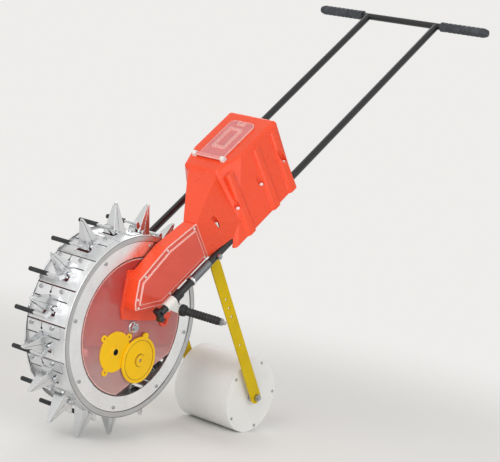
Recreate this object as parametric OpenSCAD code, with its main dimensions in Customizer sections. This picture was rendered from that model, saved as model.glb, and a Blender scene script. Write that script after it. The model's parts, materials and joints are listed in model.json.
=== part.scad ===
// Walk-behind seed planter: a beaked dibbling wheel in a two-tube handle frame,
// with a seed hopper over the tubes, a chute to the metering chamber inside the
// wheel and a press roller behind. Forward is +X, left is +Y, up is +Z.

/* [Wheel] */
// Distance from the axle to the outer face of the decks
deck_r = 219; // [205:0.5:240]
// Height of the beak tips over the decks
beak_h = 76; // [68:1:84]
// How far the side rings stand out past the decks
rim_lip = 6; // [4:0.25:8]
// Width of the side rings
ring_w = 53; // [46:0.5:56]
// Width of the raised band at the edge of a side ring
band_w = 15; // [10:0.5:18]
// Height of the raised band over the face of its ring
band_h = 2; // [1:0.25:2.5]
// Thickness of the ring plates
rim_t = 3; // [2:0.25:4]
// Width of the wheel over the faces of the two rings
wheel_w = 132; // [128:1:136]
// Sheet thickness of the decks
deck_t = 3; // [2:0.25:4]
// Depth of the deck flanges
flange_h = 31; // [28:0.5:34]
// Distance of the ring screws below the outer face of the decks
ring_screw_drop = 21; // [17:0.5:24]

/* [Beaks] */
// Width of a beak across the wheel where it leaves its base
beak_base_w = 34; // [30:0.5:36]
// Width of a beak at its tip
beak_tip_w = 8; // [5:0.5:12]
// Depth of the fixed half of a beak at its base
beak_back = 22; // [18:0.5:24]
// Depth of the moving half of a beak at its base
flap_front = 20; // [16:0.5:22]
// How much shorter the moving half is than the fixed half
flap_short = 5; // [3:0.5:8]
// Sheet thickness of the beaks and of their base plates
beak_sheet = 2; // [1.5:0.25:2.5]
// Radius of the hinge pin of a moving half
flap_pin_r = 3; // [2.5:0.1:3.5]
// Distance of the lever bar ahead of its beak
bar_lead = 29; // [27:0.5:31]
// Height of the lever bar over the deck
bar_rise = 21; // [19:0.5:23]
// Radius of the lever bar
bar_r = 3.5; // [3:0.1:4]
// Radius of the rubber sleeve on the lever bar
sleeve_r = 5.5; // [5:0.1:6.5]
// Length of the rubber sleeve
sleeve_len = 58; // [50:1:62]

/* [Handle] */
// Slope of the handle tubes
handle_angle = 40; // [38:0.5:42]
// Outside diameter of the tubes and of the crossbar
tube_d = 19; // [18:0.5:20]
// Wall of the tubes and of the crossbar
tube_wall = 1.5; // [1:0.1:2]
// Distance between the two tubes, centre to centre
tube_gauge = 234; // [232:1:238]
// Distance of the tube lines above the axle, square to the tubes
tube_rise = 11.5; // [10:0.5:13]
// Where the tubes begin, along the tube from the axle
tube_start = 56; // [54:1:60]
// Where the crossbar sits, along the tube from the axle
crossbar_s = 1330; // [1200:5:1400]
// Length of the crossbar
crossbar_len = 566; // [520:2:620]
// Length of a grip
grip_len = 150; // [120:1:155]
// Outside radius of a grip
grip_r = 13.5; // [12.5:0.25:16]

/* [Hopper] */
// Distance along the tube from the beak tips to the front of the hopper
hopper_gap = 13; // [10:1:30]
// Length of the hopper from its front to the rear of its foot
hopper_len = 287; // [275:1:300]
// How far behind that front the foot starts on the left
foot_left = 22; // [18:1:30]
// How far behind that front the foot starts on the right
foot_right = 165; // [150:1:175]
// Length of the hopper's top
top_len = 233; // [225:1:245]
// Overhang of the top behind the foot
top_overhang = 63; // [50:1:70]
// Half width of the top at its front edge
top_front_hw = 58; // [54:0.5:62]
// Half width of the top behind the hinge
top_hw = 78; // [74:0.5:82]
// Height of the hopper's top over the axle line, square to the tube
hopper_top_p = 152; // [148:1:160]
// How far the hopper's sides reach past the tubes
skirt_over = 13.5; // [12:0.5:18]
// Height of the parting line between the two hopper shells
seam_p = 57; // [50:1:64]
// Wall of the hopper and the chute
shell_wall = 3; // [2.5:0.25:3.5]
// Radius of the hopper's corners
hopper_corner = 10; // [8:0.5:12]
// How far the folds stand out of the hopper's sides
flute_out = 6; // [3:0.5:8]

/* [Lid] */
// Distance of the lid's hinge pin behind the front edge of the top
lid_hinge_set = 43; // [40:1:48]
// Length of the lid from its hinge
lid_len = 152; // [145:1:160]
// Width of the lid
lid_w = 80; // [74:1:86]
// Thickness of the lid
lid_t = 4; // [3:0.25:5]

/* [Chute and metering] */
// Depth of the chute across the machine
chute_depth = 37; // [34:0.5:38]
// Thickness of the clear chute cover
chute_cover_t = 3; // [2:0.25:4]
// Gap between the clear chamber disc and the side ring round it
disc_gap = 4; // [2.5:0.25:6]
// Thickness of the clear chamber disc
disc_t = 4; // [3:0.25:5]
// Radius of the metering roller
seed_roller_r = 32; // [30:0.5:33]
// Tooth size of the metering gears, pitch diameter for one tooth
gear_module = 4; // [3.9:0.05:4.1]
// Radius of the metering shaft
meter_shaft_r = 5; // [4.5:0.1:5.5]
// Radius of the wheel's axle
axle_r = 8; // [7.5:0.1:8.5]

/* [Press roller] */
// Radius of the press roller
roller_r = 100; // [95:1:104]
// Length of the press roller over its end plates
roller_len = 180; // [170:1:184]
// How far ahead of the hopper the arms hang from the tubes
arm_lead = 28; // [22:1:34]
// Distance of the roller's axle behind the wheel's axle
roller_back = 492; // [480:1:510]
// Width of the flat arms
arm_w = 23; // [21:0.5:25]
// Thickness of the flat arms
arm_t = 4; // [3:0.25:5]
// Radius of the roller's axle
roller_axle_r = 6; // [5.5:0.1:6.5]
// Radius of the adjusting holes in the arms
arm_hole_r = 4.25; // [4:0.05:4.5]

/* [Hidden] */
$fn = 48;
beak_count = 16;
// Running clearance of shafts in their bores and of pins in their eyes
run_gap = 0.06;
// Clearance of fixed pieces that pass through one another
fit_gap = 0.1;
// Clearance of pieces that pass near a moving one
free_gap = 0.5;
// Overrun of a cutting shape past the face it cuts
over = 1;

// Radii of the wheel and stations along the tube that follow from it
tip_r = deck_r + beak_h;
rim_r = deck_r + rim_lip;
ring_inner_r = rim_r - ring_w;
flange_r = deck_r - flange_h;
ring_screw_r = deck_r - ring_screw_drop;
disc_r = ring_inner_r - disc_gap;
hopper_s = tip_r + hopper_gap;
foot_left_s = hopper_s + foot_left;
foot_right_s = hopper_s + foot_right;
foot_s1 = hopper_s + hopper_len;
hopper_top_s1 = foot_s1 + top_overhang;
hopper_top_s0 = hopper_top_s1 - top_len;
lid_hinge_s = hopper_top_s0 + lid_hinge_set;
arm_pivot_s = hopper_s - arm_lead;
neck_len = 46;
neck_s = hopper_s - neck_len;

pitch_a = 360 / beak_count;
// The wheel is turned so that both tips on the ground bear alike on their flats
tip_flat = 3;
tip_shift = atan(tip_flat / 2 / tip_r);
first_tip_a = -90 - pitch_a / 2 - tip_shift;
tube_r = tube_d / 2;
tube_y = tube_gauge / 2;
grip_end = 1.5;
half_w = wheel_w / 2;
seg_hw = half_w - rim_t;

// Place of the axle over the ground and along the machine; a quarter turn of the
// wheel brings it back to the same outline, so its front lies as far as its foot
axle_z = tip_r * cos(pitch_a / 2 - tip_shift);
front_x = axle_z;
crossbar_x = -crossbar_s * cos(handle_angle) + tube_rise * sin(handle_angle);
axle_x = -(front_x + crossbar_x - grip_r) / 2;

// Decks and beaks
deck_gap = 1.2;
deck_half = (deck_r - deck_t) * tan(pitch_a / 2) - deck_gap;
flange_half = flange_r * tan(pitch_a / 2) - 2 * deck_gap;
ring_screw_x = 21;
screw_r = 3;
bolt_head_r = 5.5;
bolt_head_h = 3.5;
base_top = deck_r + beak_sheet;
base_x0 = -41;
base_x1 = 29;
base_step_x = -11;
base_y0 = -60;
base_y1 = 46;
base_tongue_hw = 26;
beak_bolt_x = -34;
beak_bolt_y = [-48, 20];
split_gap = 1;
flap_base_z = base_top + 1;
flap_pin_x = 8;
flap_pin_z = deck_r + 7;
lug_gap = 3;
lug_t = 3.5;
lug_in = beak_base_w / 2 + lug_gap;
lug_half = 6;
opening_front = flap_front + 6;
lever_y0 = 6;
lever_y1 = 14;
sleeve_y0 = -88;

// Chute in the tube's own frame: along the tube, and square to it
chute_y0 = half_w + band_h + 2;
chute_y1 = chute_y0 + chute_depth;
tube_top_p = tube_rise + tube_r;
chute_foot_p = tube_top_p + 1.5;
chute_back_p = 125;
chute_outline = [
    [74, chute_foot_p], [-3, 68], [4, 84], [40, 126],
    [154, 137], [neck_s, chute_back_p], [neck_s, chute_foot_p]
];
outlet = [30, 62, 66, 106];
// Plate round the chute's outlet on the chamber disc, with an eye at its rear end
foot_plate = [
    [52, 140], [52, 44], [44, 20], [-24, 16], [-69, 16], [-92, 26], [-128, 20], [-128, 70], [-60, 140]
];
foot_plate_y = chute_y0 + 1;
eye_x = -110;
eye_z = 14;
eye_r = 14;
eye_hole_r = 8;
panel_inset = 12;
panel_h = 4;
chute_screw_at = [[6, 68], [14, 88], [60, 122], [150, 131], [250, 120], [250, 29], [110, 29]];
chute_screw_r = 1.5;

// Hopper
floor_p = tube_top_p + 0.05;
floor_t = 3;
neck_y0 = chute_y0 - 2;
neck_y1 = chute_y1 + 3;
neck_top_p = 127;
foot_hw = tube_y + tube_r + skirt_over;
skirt_slot = 1;
top_flare = 75;
neck_blend = 8;
neck_floor_y = 30;
neck_floor_len = 70;
neck_floor_t = 4;
neck_floor_in = 14;
// Screws of the parting line, behind the front of the hopper, in pockets in the sides
seam_left = [12, 97, 198, 296];
seam_right = [198, 296];
seam_screws = concat([for (d = seam_left) [hopper_s + d, 1]], [for (d = seam_right) [hopper_s + d, -1]]);
seam_screw_r = 2.5;
seam_lug_h = 6;
seam_lower_h = 12;
pocket_in = 6;
screw_pocket_r = 8;
screw_pocket_h = 45;
seam_screw_y = foot_hw + (top_hw - foot_hw) * seam_p / hopper_top_p - pocket_in;
// Folds in the sides, behind the front of the hopper, at the foot and at the head
flute_left = [[72, 122], [179, 232], [252, 306]];
flute_right = [[179, 232], [252, 306]];
flute_foot_w = 34;
flute_head_w = 24;
flute_chamfer = 7;
flute_root = 8;
flute_drop = 14;
// Straps on the left and on the right, behind the front of the hopper
strap_left = [60, 252];
strap_right = [200, 262];
strap_half = 9;
strap_in = 21;
strap_out = 6;
strap_under = 4;
strap_lip = 4;

// Lid
lid_p = hopper_top_p + 0.5;
lid_hinge_p = lid_p + 6;
lid_knuckle_r = 5;
lid_pin_r = 2.5;
boss_len = 11;
boss_half = lid_hinge_p - hopper_top_p;
boss_y0 = lid_w / 2 + free_gap;
boss_y1 = boss_y0 + boss_len;
mouth_inset = 11;
mouth_hinge_gap = 4;

// Metering chamber
disc_y1 = half_w;
disc_y0 = disc_y1 - disc_t;
gear_ring_teeth = 60;
gear_pinion_teeth = 15;
gear_pressure = 20;
gear_add = 0.8;
gear_ded = 1.05;
gear_slack = 0.1;
gear_distance = gear_module * (gear_ring_teeth - gear_pinion_teeth) / 2;
meter_a = -115;
meter_x = gear_distance * cos(meter_a);
meter_z = gear_distance * sin(meter_a);
brush_x = 48;
brush_z = -60;
meter_port_r = 44;
// The disc ends in a straight edge behind the metering roller
chord_a = -120;
chord_edge = 3.3;
chord_d = meter_x * cos(chord_a) + meter_z * sin(chord_a) + meter_port_r + chord_edge;
brush_port_r = 40;
house_r = disc_r - 8;
house_t = 3;
house_back_y = 14;
house_back_t = 4;
house_floor_z = -46;
house_floor_t = 4;
roller_y0 = 20;
roller_y1 = 56;
pocket_count = 8;
pocket_r = 4;
pocket_depth = 5;
case_gap = 2.5;
stud_s = 91;
stud_r = 5;

// Clamp on the left tube and the peg below it
tee_s0 = 76;
tee_s1 = 108;
tee_r = tube_r + 3;
peg_s = 112;
peg_p = -22;
peg_r = 6;
peg_y0 = tube_y + tee_r;
peg_in = 16;
peg_sleeve_len = 126;
peg_groove = 1.5;
peg_groove_r = 4.2;
peg_tip_r = 5;
peg_tip_len = 8.5;
peg_rib_count = 12;
peg_rib_pitch = 9;
peg_rib_r = 10.5;
peg_skin_r = 9;
peg_collar_r = 15;
peg_collar_h = 8;

// Wheel disc, hub and ring gear on the right side
web_gap = 4;
web_r = flange_r - web_gap;
web_y0 = -seg_hw;
web_t = 4;
gear_face = 12;
gear_y0 = web_y0 + web_t;
gear_y1 = gear_y0 + gear_face;
gear_rim = 8;
hub_r = 26;
hub_flange_r = 42;
hub_y0 = -80;
hub_y1 = -20;
plate_t = 5;
plate_y1 = -(tube_y - tube_r);
plate_y0 = plate_y1 + plate_t;
plate_axle_r = 20;
plate_end_s = 120;
plate_end_r = 12;
plate_bolt_s = [80, 112];
axle_nut_r = 12;
axle_nut_h = 9.5;
axle_washer_r = 13;
axle_washer_t = 2.5;
axle_over = 3.5;
hub_gap = 0.3;

// Press roller and its arms
arm_y1 = tube_y - tube_r - 0.2;
arm_y0 = arm_y1 - arm_t;
arm_pivot_x = -arm_pivot_s * cos(handle_angle) + tube_rise * sin(handle_angle);
arm_pivot_z = arm_pivot_s * sin(handle_angle) + tube_rise * cos(handle_angle);
roller_x = -roller_back;
roller_z = roller_r - axle_z;
arm_len = norm([roller_x - arm_pivot_x, roller_z - arm_pivot_z]);
arm_dir = atan2(roller_z - arm_pivot_z, roller_x - arm_pivot_x);
pivot_r = 4;
arm_end_r = tube_r - free_gap;
arm_holes = [0.30, 0.36, 0.42, 0.62];
roller_shell = 4;
cap_t = 4;
cap_screws = 5;
cap_screw_r = roller_r - 10;
bush_r = 14;
bush_len = 9;
bush_gap = 0.4;
roller_nut_r = 10;
roller_nut_h = 8;
roller_axle_over = 4;

NODES = [
    "handle_tube_left", "handle_tube_right", "crossbar", "grip_left", "grip_right", "tube_sleeves",
    "tube_fittings", "tube_tee", "side_peg", "hopper_upper", "hopper_lower", "hopper_straps",
    "body_screws", "lid", "lid_hinge", "chute_body", "chute_cover", "chamber_cover",
    "chamber_housing", "meter_cover", "brush_cover", "brush", "seed_roller", "meter_pinion",
    "meter_shaft", "axle", "axle_hardware", "axle_plate", "rim_left", "rim_right", "wheel_web",
    "wheel_hub", "ring_gear", "deck_segments", "fixed_beaks", "wheel_bolts", "flap_01", "flap_02",
    "flap_03", "flap_04", "flap_05", "flap_06", "flap_07", "flap_08", "flap_09", "flap_10",
    "flap_11", "flap_12", "flap_13", "flap_14", "flap_15", "flap_16", "arm_left", "arm_right",
    "arm_bolts", "roller_drum", "roller_caps", "roller_axle"
];
FLAPS = [for (name = NODES) if (len(name) == 7 && name[0] == "f" && name[1] == "l") name];

// Frames: the machine about its axle, a tube's own frame and one beak's own frame
module machine() {
    translate([axle_x, 0, axle_z]) children();
}

module along_tube() {
    rotate([0, handle_angle, 0]) children();
}

module at_beak(k) {
    rotate([0, 90 - first_tip_a - k * pitch_a, 0]) children();
}

// Turns a shape drawn about Z so that it stands on the Y axis
module across() {
    rotate([-90, 0, 0]) children();
}

// Cylinder along Y between two stations
module rod(r, y0, y1, x = 0, z = 0) {
    translate([x, y0, z]) across() cylinder(r = r, h = y1 - y0);
}

// Ring along Y between two stations
module sleeve(r_out, r_in, y0, y1, x = 0, z = 0) {
    translate([x, y0, z]) across() difference() {
        cylinder(r = r_out, h = y1 - y0);
        translate([0, 0, -1]) cylinder(r = r_in, h = y1 - y0 + 2);
    }
}

// Six-sided head or nut along Y
module hex(r, y0, y1, x = 0, z = 0) {
    translate([x, y0, z]) across() cylinder(r = r, h = y1 - y0, $fn = 6);
}

// Outline in the X-Z plane, thick along Y between two stations
module slab(y0, y1) {
    translate([0, y1, 0]) rotate([90, 0, 0]) linear_extrude(y1 - y0) children();
}

// Outline given along and square to the tube, thick along Y
module tube_slab(y0, y1) {
    along_tube() slab(y0, y1) mirror([1, 0]) children();
}

// Solid between two depths of a beak, tapering from base to tip
module beak_wedge(x_base, x_tip, side, z0, z1, w0, w1) {
    intersection() {
        slab(-beak_base_w, beak_base_w) polygon([
            [side, z0], [x_base, z0], [x_tip, z1], [side, z1]
        ]);
        rotate([90, 0, 90]) linear_extrude(4 * beak_base_w, center = true) polygon([
            [-w0, z0], [w0, z0], [w1, z1], [-w1, z1]
        ]);
    }
}

// Half width of a beak at a height over the deck
function beak_hw(z) = beak_base_w / 2
    + (beak_tip_w - beak_base_w) / 2 * (z - base_top) / (tip_r - base_top);

// Handle
module handle_tube(side) {
    y = side * tube_y;
    color("#2d3032") machine() along_tube() difference() {
        translate([-tube_start, y, tube_rise]) rotate([0, -90, 0]) difference() {
            cylinder(r = tube_r, h = crossbar_s - tube_start);
            translate([0, 0, -over]) cylinder(r = tube_r - tube_wall, h = crossbar_s);
        }
        rod(tube_r + fit_gap, y - tube_d, y + tube_d, -crossbar_s, tube_rise);
        rod(pivot_r + fit_gap, y - tube_d, y + tube_d, -arm_pivot_s, tube_rise);
    }
}

module handle_tube_left() {
    handle_tube(1);
}

module handle_tube_right() {
    handle_tube(-1);
}

module crossbar() {
    half = crossbar_len / 2;
    color("#2d3032") machine() along_tube()
        sleeve(tube_r, tube_r - tube_wall, -half, half, -crossbar_s, tube_rise);
}

// Rubber grip with finger waves, a collar at its inner end and a closed outer end
module grip() {
    waves = 9;
    wave_h = 0.9;
    steps = 4;
    collar = 6;
    round_end = 9;
    wave_len = (grip_len - collar - round_end) / waves;
    bore_r = tube_r + fit_gap;
    inner = grip_end - grip_len;
    across() rotate_extrude() polygon(concat(
        [[0, 0], [bore_r, 0], [bore_r, inner], [grip_r, inner], [grip_r, inner + collar]],
        [for (i = [0 : waves * steps])
            [grip_r - wave_h * (1 - abs(sin(180 * i / steps))),
             inner + collar + i * wave_len / steps]],
        [[bore_r, grip_end], [0, grip_end]]
    ));
}

module grip_left() {
    color("#26282a") machine() along_tube()
        translate([-crossbar_s, crossbar_len / 2 + fit_gap, tube_rise]) grip();
}

module grip_right() {
    color("#26282a") machine() along_tube()
        translate([-crossbar_s, -crossbar_len / 2 - fit_gap, tube_rise]) mirror([0, 1, 0]) grip();
}

// Pressed sleeves that stiffen the tubes below the hopper
module tube_sleeves() {
    s0 = 175;
    s1 = 250;
    wall = 1.2;
    color("#7d8084") machine() along_tube() for (side = [-1, 1])
        translate([-s0, side * tube_y, tube_rise]) rotate([0, -90, 0]) difference() {
            cylinder(r = tube_r + wall, h = s1 - s0);
            translate([0, 0, -over]) cylinder(r = tube_r + fit_gap, h = s1 - s0 + 2 * over);
        }
}

// Black plugs in the lower tube ends, and on the left a collar and a waisted knob
module tube_fittings() {
    collar_s0 = 110;
    collar_s1 = 134;
    plug_len = 14;
    knob_len = 13;
    knob_hw = 17;
    knob_t = 16;
    waist_r = 14;
    color("#1c1d1f") machine() along_tube() translate([0, 0, tube_rise]) {
        translate([-collar_s0, tube_y, 0]) rotate([0, -90, 0]) difference() {
            cylinder(r = tee_r, h = collar_s1 - collar_s0);
            translate([0, 0, -1]) cylinder(r = tube_r + fit_gap, h = collar_s1 - collar_s0 + 2);
        }
        for (side = [-1, 1]) translate([-tube_start, side * tube_y, 0]) rotate([0, -90, 0])
            cylinder(r = tube_r - tube_wall - fit_gap, h = plug_len);
        translate([-tube_start, tube_y, 0]) difference() {
            translate([0, -knob_t / 2, -knob_hw]) cube([knob_len, knob_t, 2 * knob_hw]);
            for (y = [-1, 1]) translate([knob_len / 2, y * (waist_r + knob_t / 4), 0]) rotate([0, 90, 0])
                cylinder(r = waist_r, h = 2 * knob_len, center = true);
        }
    }
}

// White clamp on the left tube, with the lug that carries the side peg
module tube_tee() {
    color("#e6e6e2") machine() along_tube() difference() {
        union() {
            translate([-tee_s0, tube_y, tube_rise]) rotate([0, -90, 0])
                cylinder(r = tee_r, h = tee_s1 - tee_s0);
            rod(stud_r + 3, half_w + 10, tube_y, -stud_s, tube_rise);
            slab(tube_y - 4, peg_y0) polygon([
                [-tee_s0 - 2, tube_rise], [-tee_s1, tube_rise], [-tee_s1, tube_rise - tee_r],
                [-peg_s - 12, peg_p + 6], [-peg_s - 12, peg_p - 8], [-peg_s + 4, peg_p - 12],
                [-tee_s0 - 8, tube_rise - tee_r]
            ]);
        }
        translate([-tee_s0 + over, tube_y, tube_rise]) rotate([0, -90, 0])
            cylinder(r = tube_r + fit_gap, h = tee_s1 - tee_s0 + 2 * over);
        rod(stud_r + fit_gap, half_w, tube_y, -stud_s, tube_rise);
        rod(peg_r + fit_gap, tube_y - tee_r, peg_y0 + 1, -peg_s, peg_p);
    }
}

// Steel rod with a ribbed rubber sleeve, a collar against the clamp and a bare turned tip
module side_peg() {
    groove_end = peg_sleeve_len + peg_groove;
    color("#222426") machine() along_tube() translate([-peg_s, peg_y0, peg_p]) across() {
        union() {
            translate([0, 0, -peg_in]) cylinder(r = peg_r, h = peg_in + peg_sleeve_len);
            cylinder(r = peg_groove_r, h = groove_end + over);
            translate([0, 0, groove_end]) cylinder(r = peg_tip_r, h = peg_tip_len);
        }
        rotate_extrude() polygon(concat(
            [[peg_r + fit_gap, 0], [peg_collar_r, 0], [peg_collar_r - 1, peg_collar_h]],
            [for (i = [0 : peg_rib_count - 1]) for (j = [0 : 1])
                [j == 0 ? peg_rib_r : peg_skin_r, peg_collar_h + 3 + (i + j / 2) * peg_rib_pitch]],
            [[peg_skin_r, peg_sleeve_len], [peg_r + fit_gap, peg_sleeve_len]]
        ));
    }
}

// Hopper body about the tube line; grow < 0 gives the space inside the wall. Its foot
// starts further back on the right, so the front slants down to the throat on the left
module hopper_main(grow) {
    r = hopper_corner;
    hull() for (side = [-1, 1]) {
        for (at = [
            [hopper_top_s0 + r - grow, top_front_hw], [hopper_top_s0 + top_flare, top_hw],
            [hopper_top_s1 - r + grow, top_hw]
        ])
            translate([-at[0], side * (at[1] - r + grow), hopper_top_p - r + grow]) sphere(r = r, $fn = 24);
        for (s = [(side > 0 ? foot_left_s : foot_right_s) + r - grow, foot_s1 - r + grow])
            translate([-s, side * (foot_hw - r + grow), grow]) cylinder(r = r, h = 1, $fn = 24);
    }
}

// Throat that leads from the front of the hopper down to the chute on the left
module hopper_neck(grow) {
    front = neck_s + (grow < 0 ? over : 0);
    inset = hopper_corner + neck_blend / 2;
    end_w = neck_y1 - neck_y0 + 2 * grow;
    end_h = neck_top_p - floor_p + 2 * grow;
    hull() {
        translate([-front - over, neck_y0 - grow, floor_p - grow]) cube([over, end_w, end_h]);
        for (side = [-1, 1]) translate([
            -hopper_top_s0 - inset, side * (top_front_hw - inset + grow), hopper_top_p - inset + grow
        ])
            sphere(r = neck_blend, $fn = 16);
        translate([-foot_left_s - hopper_corner - neck_floor_len, neck_floor_y - grow, floor_p - grow])
            cube([neck_floor_len, foot_hw - neck_floor_in - neck_floor_y + 2 * grow, neck_floor_t]);
    }
    if (grow < 0)
        translate([-front - over, neck_y0 - grow, floor_p - grow]) cube([3 * over, end_w, end_h]);
}

function hopper_side_y(p) = foot_hw + (top_hw - foot_hw) * p / hopper_top_p;

// Flat fold that stiffens a side of the hopper, leaning back to the top
module hopper_flute(foot, head) {
    head_p = hopper_top_p - flute_drop;
    head_y = hopper_side_y(head_p);
    inner = 2 * flute_chamfer;
    hull() {
        translate([-hopper_s - foot - flute_foot_w, foot_hw - flute_root, 0])
            cube([flute_foot_w, flute_root, 1]);
        translate([-hopper_s - foot - flute_foot_w + flute_chamfer, foot_hw - flute_root, 0])
            cube([flute_foot_w - inner, flute_root + flute_out, 1]);
        translate([-hopper_s - head - flute_head_w, head_y - flute_root, head_p])
            cube([flute_head_w, flute_root, 1]);
        translate([-hopper_s - head - flute_head_w + flute_chamfer, head_y - flute_root, head_p])
            cube([flute_head_w - inner, flute_root + flute_out / 3, 1]);
    }
}

module hopper_outside() {
    hopper_main(0);
    hopper_neck(0);
    for (f = flute_left) hopper_flute(f[0], f[1]);
    for (f = flute_right) mirror([0, 1, 0]) hopper_flute(f[0], f[1]);
}

// Upright cylinders at the screws of the parting line
module at_seam_screws(r, p0, p1) {
    for (at = seam_screws)
        translate([-at[0], at[1] * seam_screw_y, p0]) cylinder(r = r, h = p1 - p0, $fn = 24);
}

module hopper_slab(p0, p1) {
    translate([-2 * hopper_top_s1, -2 * foot_hw, p0]) cube([2 * hopper_top_s1, 4 * foot_hw, p1 - p0]);
}

// Opening under the lid
module hopper_mouth() {
    mouth_len = lid_len - 2 * mouth_inset - mouth_hinge_gap;
    mouth_w = lid_w - 2 * mouth_inset;
    translate([-lid_hinge_s - lid_len + mouth_inset, -mouth_w / 2, hopper_top_p - 2 * hopper_corner])
        cube([mouth_len, mouth_w, 4 * hopper_corner]);
}

module hopper_upper() {
    color("#f0502c") machine() along_tube() difference() {
        union() {
            difference() {
                intersection() {
                    hopper_outside();
                    hopper_slab(seam_p, 2 * hopper_top_p);
                }
                hopper_main(-shell_wall);
                hopper_neck(-shell_wall);
                hopper_mouth();
            }
            intersection() {
                hopper_outside();
                at_seam_screws(screw_pocket_r + shell_wall, seam_p, seam_p + screw_pocket_h);
            }
        }
        at_seam_screws(screw_pocket_r, seam_p + seam_lug_h, seam_p + screw_pocket_h + over);
        at_seam_screws(seam_screw_r + fit_gap, seam_p - over, seam_p + seam_lug_h + over);
    }
}

module hopper_lower() {
    below = 4 * hopper_corner;
    color("#e84a28") machine() along_tube() difference() {
        union() {
            difference() {
                intersection() {
                    hopper_outside();
                    hopper_slab(-2 * hopper_corner, seam_p);
                }
                intersection() {
                    union() {
                        hopper_main(-shell_wall);
                        hopper_neck(-shell_wall);
                    }
                    hopper_slab(floor_p + floor_t, seam_p + over);
                }
                intersection() {
                    hopper_main(-shell_wall);
                    hopper_slab(-below, floor_p);
                }
            }
            intersection() {
                hopper_outside();
                at_seam_screws(screw_pocket_r + shell_wall, seam_p - seam_lower_h, seam_p);
            }
        }
        for (side = [-1, 1]) {
            translate([0, side * tube_y, tube_rise]) rotate([0, -90, 0])
                cylinder(r = tube_r + skirt_slot, h = 2 * foot_s1);
            translate([-2 * foot_s1, side * tube_y - tube_r - skirt_slot, -below])
                cube([2 * foot_s1, 2 * (tube_r + skirt_slot), below + tube_rise]);
        }
        at_seam_screws(seam_screw_r + fit_gap, seam_p - seam_lower_h - over, seam_p + over);
    }
}

// Hooked straps that hold the hopper floor down on the tubes
module hopper_straps() {
    under_p = tube_rise - tube_r - strap_under;
    color("#3a3d40") machine() along_tube() for (side = [0, 1], d = side == 0 ? strap_left : strap_right)
        mirror([0, side, 0]) translate([-hopper_s - d, tube_y, 0]) difference() {
            union() {
                translate([-strap_half, -strap_in, under_p])
                    cube([2 * strap_half, strap_in, tube_top_p - under_p]);
                translate([-strap_half, 0, under_p])
                    cube([2 * strap_half, strap_out, tube_r + strap_under - strap_lip]);
            }
            translate([0, 0, tube_rise]) rotate([0, 90, 0])
                cylinder(r = tube_r + fit_gap, h = 4 * strap_half, center = true);
        }
}

// Screws of the hopper's parting line and of the chute cover
module body_screws() {
    head_h = 2.5;
    face_y = chute_y1 + chute_cover_t;
    color("#d8d9da") machine() along_tube() {
        at_seam_screws(seam_screw_r, seam_p - seam_lug_h, seam_p + seam_lug_h);
        at_seam_screws(2 * seam_screw_r, seam_p + seam_lug_h, seam_p + seam_lug_h + head_h);
        for (at = chute_screw_at) {
            rod(chute_screw_r, chute_y1, face_y, -at[0], at[1]);
            rod(1.8 * chute_screw_r, face_y, face_y + head_h / 2, -at[0], at[1]);
        }
    }
}

// Clear lid with a raised frame, a latch and a hinge knuckle at its front edge
module lid() {
    corner = 16;
    frame_h = 5;
    frame_w = 5;
    frame_len = 80;
    frame_hw = 20;
    frame_s1 = lid_hinge_s + 0.78 * lid_len;
    front_gap = lid_knuckle_r + 3;
    tongue = 8;
    latch_len = 12;
    latch_hw = 11;
    latch_h = 4;
    latch_slot = 3;
    plate_len = lid_len - front_gap;
    color("#e8606080") machine() along_tube() difference() {
        union() {
            translate([-lid_hinge_s - lid_len, 0, lid_p]) linear_extrude(lid_t) union() {
                translate([corner, -lid_w / 2]) square([plate_len - corner, lid_w]);
                translate([0, corner - lid_w / 2]) square([plate_len, lid_w - 2 * corner]);
                for (side = [-1, 1]) translate([corner, side * (lid_w / 2 - corner)]) circle(r = corner);
            }
            rod(lid_knuckle_r, -lid_w / 2, lid_w / 2, -lid_hinge_s, lid_hinge_p);
            translate([-lid_hinge_s - front_gap - 2, -lid_w / 2, lid_p]) cube([tongue, lid_w, lid_t]);
            translate([-frame_s1, -frame_hw, lid_p]) cube([frame_len, 2 * frame_hw, frame_h + lid_t]);
            translate([-lid_hinge_s - lid_len + frame_w, -latch_hw, lid_p])
                cube([latch_len, 2 * latch_hw, lid_t + latch_h]);
        }
        rod(lid_pin_r + run_gap, -lid_w, lid_w, -lid_hinge_s, lid_hinge_p);
        translate([-frame_s1 + frame_w, frame_w - frame_hw, lid_p + lid_t])
            cube([frame_len - 2 * frame_w, 2 * (frame_hw - frame_w), frame_h + over]);
        translate([-lid_hinge_s - lid_len + frame_w + latch_len / 2, latch_slot - latch_hw, lid_p + lid_t])
            cube([latch_slot, 2 * (latch_hw - latch_slot), latch_h + over]);
    }
}

// Two white hinge bosses on the hopper's top, beside the lid, and the pin between them
module lid_hinge() {
    color("#efece6") machine() along_tube() {
        for (side = [0, 1]) mirror([0, side, 0]) difference() {
            union() {
                translate([-lid_hinge_s - boss_half, boss_y0, hopper_top_p])
                    cube([2 * boss_half, boss_len, boss_half]);
                rod(boss_half, boss_y0, boss_y1, -lid_hinge_s, lid_hinge_p);
            }
            rod(lid_pin_r + fit_gap, boss_y0 - over, boss_y1 + over, -lid_hinge_s, lid_hinge_p);
        }
        rod(lid_pin_r, -boss_y1, boss_y1, -lid_hinge_s, lid_hinge_p);
    }
}

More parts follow.
